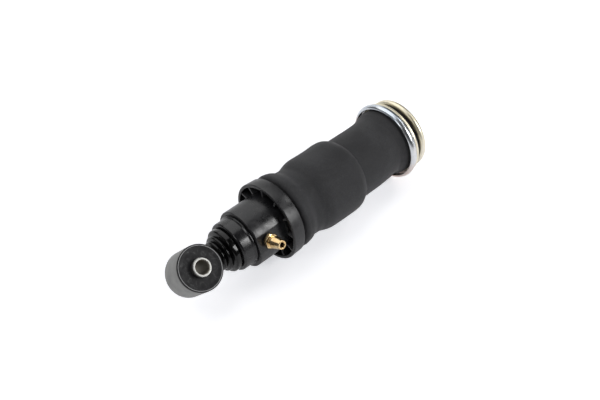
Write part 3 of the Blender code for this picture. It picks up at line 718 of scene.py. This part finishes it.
def makeNipple():
    corner = nipple["hexAcross"] / math.sqrt(3.0)
    apothem = nipple["hexAcross"] / 2.0
    cut = nipple["chamfer"]
    outline = filleted([
        (nipple["threadStart"], nipple["bore"], 0.2), (nipple["threadStart"], nipple["threadRadius"], 0.5),
        (nipple["hexStart"], nipple["threadRadius"]), (nipple["hexStart"], apothem - 0.2, 0.1),
        (nipple["hexStart"] + cut, corner, 0.1), (nipple["hexEnd"] - cut, corner, 0.1),
        (nipple["hexEnd"], apothem - 0.3, 0.1), (nipple["hexEnd"], nipple["neckRadius"], 0.3),
        (nipple["barbStart"], nipple["neckRadius"], 0.3), (nipple["barbStart"], nipple["barbRadius"], 0.12),
        (nipple["tip"], nipple["tipRadius"], 0.5), (nipple["tip"], nipple["bore"] + 0.5, 0.1),
        (nipple["tip"] - 0.5, nipple["bore"], 0.1)])
    turns = [fullTurn * (flat + 0.5) / 6.0 for flat in range(6)]
    directions = [Vector((0.0, math.cos(turn), math.sin(turn))) for turn in turns]
    start = nipple["hexStart"] + nipple["hexInset"]
    end = nipple["hexEnd"] - nipple["hexInset"]

    def hexagon(point):
        for direction in directions:
            point = milled(point, direction, apothem, start, end, nipple["hexSoft"])
        return point

    dress(turnedPiece("airNipple", divided(outline, 0.35), 192, nippleFrame, hexagon), "nipple_brass",
          "lower_body", "air_nipple")
    sealStart, sealEnd = nipple["seal"]
    sealBore = nipple["threadRadius"] + 0.3
    seal = filleted([
        (sealStart, sealBore, 0.4), (sealStart, nipple["sealRadius"], 0.5),
        (sealEnd, nipple["sealRadius"], 0.5), (sealEnd, sealBore, 0.4)])
    dress(turnedPiece("nippleSeal", seal, 96, nippleFrame), "seal_rubber", "lower_body", "nipple_seal")


makeNipple()
print("nipple made")


# The rolling air sleeve.

sleeve = {
    "wall": 3.0,
    # Middle of the outer layer's wall, from the rolled lobe to the crimp: distance along X, radius.
    "stations": (
        (124.0, 42.8), (130.0, 41.6), (137.0, 38.5), (143.0, 38.0), (149.5, 38.2), (155.0, 40.0),
        (163.0, 42.0), (175.0, 42.3), (190.0, 42.5), (199.0, 42.7), (206.0, 41.9), (211.0, 39.6),
        (215.0, 36.6), (220.0, 36.1), (245.0, 36.1), (271.0, 35.8), (278.0, 37.0), (284.0, 39.4)),
    "top": 291.5, "lobeX": 124.0, "lobeReach": 4.2, "innerRadius": 32.8, "innerEnd": 211.0,
    # Up to doubledEnd there are two layers: between the layerGap radii only the outer one is free.
    "doubledEnd": 213.0, "layerGap": (35.0, 38.0),
    # The sleeve comes loose over the first stretch of X and is held again over the second.
    "loosening": (124.0, 150.0), "tightening": (240.0, 282.0),
    "sag": 1.2, "bulgeSag": 0.8, "bulgeX": 185.0, "bulgeWidth": 26.0,
    "sagAway": Vector((0.0, -0.813, -0.583)),
    "uneven": 0.45, "ripple": 0.22, "shift": 1.3, "pucker": 0.3, "puckerX": 279.0, "puckerWidth": 4.5,
    # Below the crimp the rubber is pushed to one side.
    "crowding": 1.5, "crowdingX": 276.5, "crowdingWidth": 6.5, "crowdingAway": Vector((0.0, 0.866, 0.5)),
    "crowdingInner": 34.0,
}


def sleeveOutline():
    outerRadius = sleeve["stations"][0][1]
    lobeCentre = (outerRadius + sleeve["innerRadius"]) / 2.0
    lobeHalf = (outerRadius - sleeve["innerRadius"]) / 2.0
    crimped = sleeve["stations"][-1]
    middle = [Vector((sleeve["top"] - step * 1.25, crimped[1])) for step in range(6)]
    middle += list(reversed(smoothCurve(sleeve["stations"], 6)))
    lobeSteps = 22
    for step in range(1, lobeSteps + 1):
        angle = math.pi / 2.0 + math.pi * step / lobeSteps
        x = sleeve["lobeX"] + sleeve["lobeReach"] * math.cos(angle)
        middle.append(Vector((x, lobeCentre + lobeHalf * math.sin(angle))))
    innerSteps = 12
    for step in range(1, innerSteps + 1):
        x = sleeve["lobeX"] + (sleeve["innerEnd"] - sleeve["lobeX"]) * step / innerSteps
        middle.append(Vector((x, sleeve["innerRadius"])))
    outside = []
    inside = []
    for index, point in enumerate(middle):
        along = (middle[min(index + 1, len(middle) - 1)] - middle[max(index - 1, 0)]).normalized()
        across = Vector((-along.y, along.x)) * sleeve["wall"] / 2.0
        outside.append(tuple(point + across))
        inside.append(tuple(point - across))
    return outside + inside[::-1]


def relaxed(point):
    # The empty sleeve sags off the axis, its bulge is a little uneven, and it puckers at the crimp.
    radius = math.hypot(point.y, point.z)
    free = eased(radius, *sleeve["layerGap"]) if point.x < sleeve["doubledEnd"] else 1.0
    free *= eased(point.x, *sleeve["loosening"]) * (1.0 - eased(point.x, *sleeve["tightening"]))
    outward = Vector((0.0, point.y, point.z)) / radius
    sag = sleeve["sag"] + sleeve["bulgeSag"] * bell(point.x, sleeve["bulgeX"], sleeve["bulgeWidth"])
    uneven = sleeve["uneven"] * noise.noise(outward * 1.7 + Vector((point.x / 45.0, 0.0, 0.0)))
    ripple = sleeve["ripple"] * noise.noise(outward * 3.4 + Vector((point.x / 24.0 + 9.0, 0.0, 0.0)))
    shift = sleeve["shift"] * noise.noise(outward * 1.1 + Vector((3.0, point.x / 90.0, 0.0)))
    pucker = sleeve["pucker"] * bell(point.x, sleeve["puckerX"], sleeve["puckerWidth"])
    moved = point + sleeve["sagAway"] * sag * free
    if radius > sleeve["crowdingInner"]:
        crowding = sleeve["crowding"] * bell(point.x, sleeve["crowdingX"], sleeve["crowdingWidth"])
        moved += sleeve["crowdingAway"] * crowding
    moved += outward * ((uneven + ripple) * free + pucker * noise.noise(outward * 8.0))
    moved.x += shift * free
    return moved


sleevePiece = turnedPiece("airSleeve", sleeveOutline(), 192, None, relaxed)
dress(sleevePiece, "sleeve_rubber", None, "air_sleeve")
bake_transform(sleevePiece)
print("sleeve made")


# The upper end: crimp ring, closing plate, isolator, top mount plate and stud.

upper = {
    "crimpX": 288.5, "crimpCentre": 42.3, "crimpRound": 4.9, "crimpWall": 1.2,
    "crimpStart": 160.0, "crimpEnd": 10.0,
    "lipStart": 284.5, "lipOuter": 37.6, "lipInner": 34.9, "shoulderStart": 292.0, "shoulder": 41.7,
    "flankX": 294.0, "flank": 43.6, "rimStart": 292.9, "rimRound": 0.6,
    "plateHole": 5.3, "plateHub": 286.5, "hubRadius": 24.0, "plateFloor": 289.0, "floorRadius": 23.0,
    "dishRadius": 33.0,
    "isolatorBore": 26.0, "isolatorWaist": 40.4, "isolatorRear": 38.6,
}
mount = {
    "beadCentre": 39.0, "beadRound": 4.0, "beadEnd": -50.0, "wall": 2.0, "innerBend": 1.0, "outerBend": 2.4,
    "seatX": 313.1, "seatRadius": 22.0, "stepRadius": 32.0, "hole": 6.3,
    "studRadius": 6.0, "headRadius": 13.0, "headStart": 306.8, "headEnd": 310.8,
    "threadStart": 315.0, "threadRunIn": 1.2, "threadPitch": 1.5, "threadDepth": 0.85, "threadCore": 4.6,
    "pointChamfer": 1.3,
}


def rolledEdge(middle, tip, angle, start):
    # The rounded raw edge of the rolled sheet, at one end of the curl.
    centreX = upper["crimpX"] + middle * math.cos(math.radians(angle))
    centreR = upper["crimpCentre"] + middle * math.sin(math.radians(angle))
    return arcPoints(centreX, centreR, tip, start, start - 180.0, 6)[1:-1]


def makeCrimpRing():
    rounding = upper["crimpRound"]
    inner = rounding - upper["crimpWall"]
    middle = rounding - upper["crimpWall"] / 2.0
    tip = upper["crimpWall"] / 2.0
    first = upper["crimpStart"]
    last = upper["crimpEnd"]
    outline = arcPoints(upper["crimpX"], upper["crimpCentre"], rounding, first, last, 30)
    outline += rolledEdge(middle, tip, last, last)
    outline += arcPoints(upper["crimpX"], upper["crimpCentre"], inner, last, first, 24)
    outline += rolledEdge(middle, tip, first, first + 180.0)
    dress(turnedPiece("crimpRing", outline, 192), "clear_zinc", "rod_body", "sleeve_crimp_ring")


def makeTopPlate():
    start, end, rim = extent("sleeve_top_plate")
    outline = filleted([
        (upper["plateHub"], upper["plateHole"]), (upper["plateHub"], upper["hubRadius"], 1.5),
        (upper["shoulderStart"], upper["dishRadius"] - 1.0, 1.0),
        (upper["shoulderStart"], upper["lipInner"], 0.6),
        (upper["lipStart"], upper["lipInner"], 1.0), (upper["lipStart"], upper["lipOuter"], 0.8),
        (upper["shoulderStart"], upper["lipOuter"], 0.6), (upper["shoulderStart"], upper["shoulder"], 0.6),
        (upper["flankX"], upper["shoulder"], 0.5), (upper["flankX"], upper["flank"], 0.3),
        (upper["rimStart"], rim, 0.3), (end, rim, upper["rimRound"]), (end, upper["dishRadius"], 1.5),
        (upper["plateFloor"], upper["floorRadius"], 1.5), (upper["plateFloor"], upper["plateHole"])])
    dress(turnedPiece("sleeveTopPlate", outline, 192), "yellow_zinc", "rod_body", "sleeve_top_plate")


def makeIsolator():
    start, end, radius = extent("isolator_ring")
    outline = filleted([
        (start, upper["isolatorBore"], 0.8), (start, radius, 0.7),
        ((start + end) / 2.0, upper["isolatorWaist"], 4.0), (end, upper["isolatorRear"], 0.7),
        (end, upper["isolatorBore"], 0.8)])
    piece = turnedPiece("isolatorRing", divided(outline, 1.0), 144)
    dress(piece, "seal_rubber", None, "isolator_ring")
    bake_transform(piece)


def makeMountPlate():
    start = extent("top_mount_plate")[0]
    wall = mount["wall"]
    beadX = start + mount["beadRound"]
    seatX = mount["seatX"]
    outline = [(seatX - wall, mount["hole"])]
    bend = mount["innerBend"]
    outline += arcPoints(seatX - wall - bend, mount["seatRadius"] - 2.0, bend, 0.0, 50.0, 5)
    outline += [(start + 0.6, mount["stepRadius"] - 1.6), (start, mount["stepRadius"] - 0.2)]
    outline += arcPoints(beadX, mount["beadCentre"], mount["beadRound"], 180.0, mount["beadEnd"], 32)
    outline += arcPoints(beadX, mount["beadCentre"], mount["beadRound"] - wall, mount["beadEnd"], 180.0, 20)
    outline += [(start + wall, mount["stepRadius"] + 0.9), (start + wall + 0.5, mount["stepRadius"])]
    bend = mount["outerBend"]
    outline += arcPoints(seatX - bend, mount["seatRadius"] - 1.6, bend, 48.0, 0.0, 8)
    outline += [(seatX, mount["hole"])]
    dress(turnedPiece("topMountPlate", outline, 192), "yellow_zinc", "top_mount", "top_mount_plate")


def makeStud():
    end = extent("top_stud")[1]
    radius = mount["studRadius"]
    outline = filleted([
        (mount["headStart"], 0.0), (mount["headStart"], mount["headRadius"], 0.8),
        (mount["headEnd"], mount["headRadius"], 0.4), (mount["headEnd"], radius, 0.3),
        (end - mount["pointChamfer"], radius), (end, radius - mount["pointChamfer"]), (end, 0.0)])

    def threaded(point):
        # Cuts a helical groove, whose depth grows over the run-in.
        reach = math.hypot(point.y, point.z)
        if reach < mount["threadCore"] or point.x < mount["threadStart"]:
            return point
        cut = eased(point.x, mount["threadStart"], mount["threadStart"] + mount["threadRunIn"])
        turns = point.x / mount["threadPitch"] - math.atan2(point.z, point.y) / fullTurn
        groove = min(1.0, abs(turns % 1.0 - 0.5) * 2.2)    # 0 at the root, 1 at the crest
        depth = mount["threadDepth"] * (1.0 - groove) * cut
        target = min(reach, radius - depth)
        return Vector((point.x, point.y * target / reach, point.z * target / reach))

    stud = turnedPiece("topStud", divided(outline, 0.16), 72, None, threaded)
    dress(stud, "yellow_zinc", "top_mount", "top_stud")


makeCrimpRing()
makeTopPlate()
makeIsolator()
makeMountPlate()
makeStud()
print("upper end made")


# The inner pieces keep their CAD shape and take their real finish.

innerFinish = {
    "damper_outer_tube": "gloss_black_paint", "inner_cylinder": "valve_steel", "base_valve": "valve_steel",
    "rod_guide": "valve_steel", "rod_seal": "seal_rubber", "housing_o_ring": "seal_rubber",
    "roll_tube": "housing_plastic", "sleeve_clamp_ring": "clear_zinc", "piston_rod": "hard_chrome",
    "piston": "valve_steel", "piston_ring": "ptfe", "compression_shims": "valve_steel",
    "rebound_shims": "valve_steel", "piston_nut": "valve_steel", "rebound_stop": "urethane",
    "bump_stop": "urethane", "bump_stop_cup": "clear_zinc", "rod_top_nut": "clear_zinc",
}
for node, slot in innerFinish.items():
    mesh = frame["nodes"][node].data
    mesh.materials.clear()
    mesh.materials.append(finishes[slot])
print("inner pieces finished:", len(innerFinish))


# The floor, the lights and the camera.

studio = {
    # Places and sizes here are in metres.
    "floorHalf": 4.0, "floorX": 0.15, "floorGlow": 0.15, "lensGlow": 0.405, "world": 0.055,
    "camera": (-0.3480, -0.5195, 0.7233), "target": (0.1490, -0.0011, 0.0), "lens": 55.68,
    "lightTarget": (0.12, 0.0, 0.0),
    # name: (place, width, height, watts)
    "lights": {
        "overhead": ((0.05, 0.75, 1.25), 2.1, 1.8, 15.5),
        "side": ((0.74, -1.03, 0.70), 0.40, 0.64, 8.5),
        "top": ((1.05, -0.25, 0.95), 0.45, 0.45, 1.6),
        "sweep": ((0.75, 1.35, 0.30), 1.6, 0.6, 2.4),
        "front": ((-1.00, -0.10, 0.75), 0.35, 0.35, 1.6),
    },
}


def sweepPaper():
    # Uncoated white backdrop paper: matt, and evenly white but for the faint cloud of its pulp.
    material, tree, shader, place = newMaterial("sweepPaper", {
        "Roughness": 0.75, "Specular IOR Level": 0.2, "Emission Color": linearColour("#fafbff")})
    pulp = addNode(tree, "TexNoise", {"Scale": 1.0 / (60.0 * mm), "Detail": 3.0}, {"Vector": place})
    colour = addNode(tree, "ValToRGB", {"stops": [(0.4, "#f4f4f6"), (0.6, "#f6f6f7")]},
                     {"Fac": pulp.outputs[0]})
    # The paper is lit through from behind for the lens alone, so that its white is clean and the
    # shadow pale, while the object is lit almost as it would be on plain paper.
    rays = addNode(tree, "LightPath")
    glow = addNode(tree, "Math", {"operation": "MULTIPLY_ADD", 1: studio["lensGlow"],
                                  2: studio["floorGlow"]}, {0: rays.outputs["Is Camera Ray"]})
    feed(tree, shader, {"Base Color": colour.outputs[0], "Emission Strength": glow.outputs[0]})
    return material


def makeFloor():
    low = cadBounds[0]
    shape = bmesh.new()
    bmesh.ops.create_grid(shape, x_segments=8, y_segments=8, size=studio["floorHalf"])
    floor = meshPiece("floor", shape, Matrix.Translation((studio["floorX"], 0.0, low[2])))
    floor.data.materials.append(sweepPaper())


def aimed(thing, place, target):
    thing.location = place
    thing.rotation_euler = (Vector(target) - Vector(place)).to_track_quat("-Z", "Y").to_euler()
    bpy.context.scene.collection.objects.link(thing)


def makeLights():
    world = bpy.data.worlds.new("studio")
    world.use_nodes = True
    background = world.node_tree.nodes["Background"]
    background.inputs["Color"].default_value = linearColour("#f6f8fb")
    background.inputs["Strength"].default_value = studio["world"]
    bpy.context.scene.world = world
    for name, (place, width, height, watts) in studio["lights"].items():
        light = bpy.data.lights.new(name, "AREA")
        light.shape = "RECTANGLE"
        light.size = width
        light.size_y = height
        light.energy = watts
        aimed(bpy.data.objects.new(name, light), place, studio["lightTarget"])


def makeCamera():
    camera = bpy.data.cameras.new("camera")
    camera.lens = studio["lens"]
    holder = bpy.data.objects.new("camera", camera)
    aimed(holder, studio["camera"], studio["target"])
    bpy.context.scene.camera = holder
    bpy.context.scene.view_settings.view_transform = "Standard"


makeFloor()
makeLights()
makeCamera()
print("studio set")
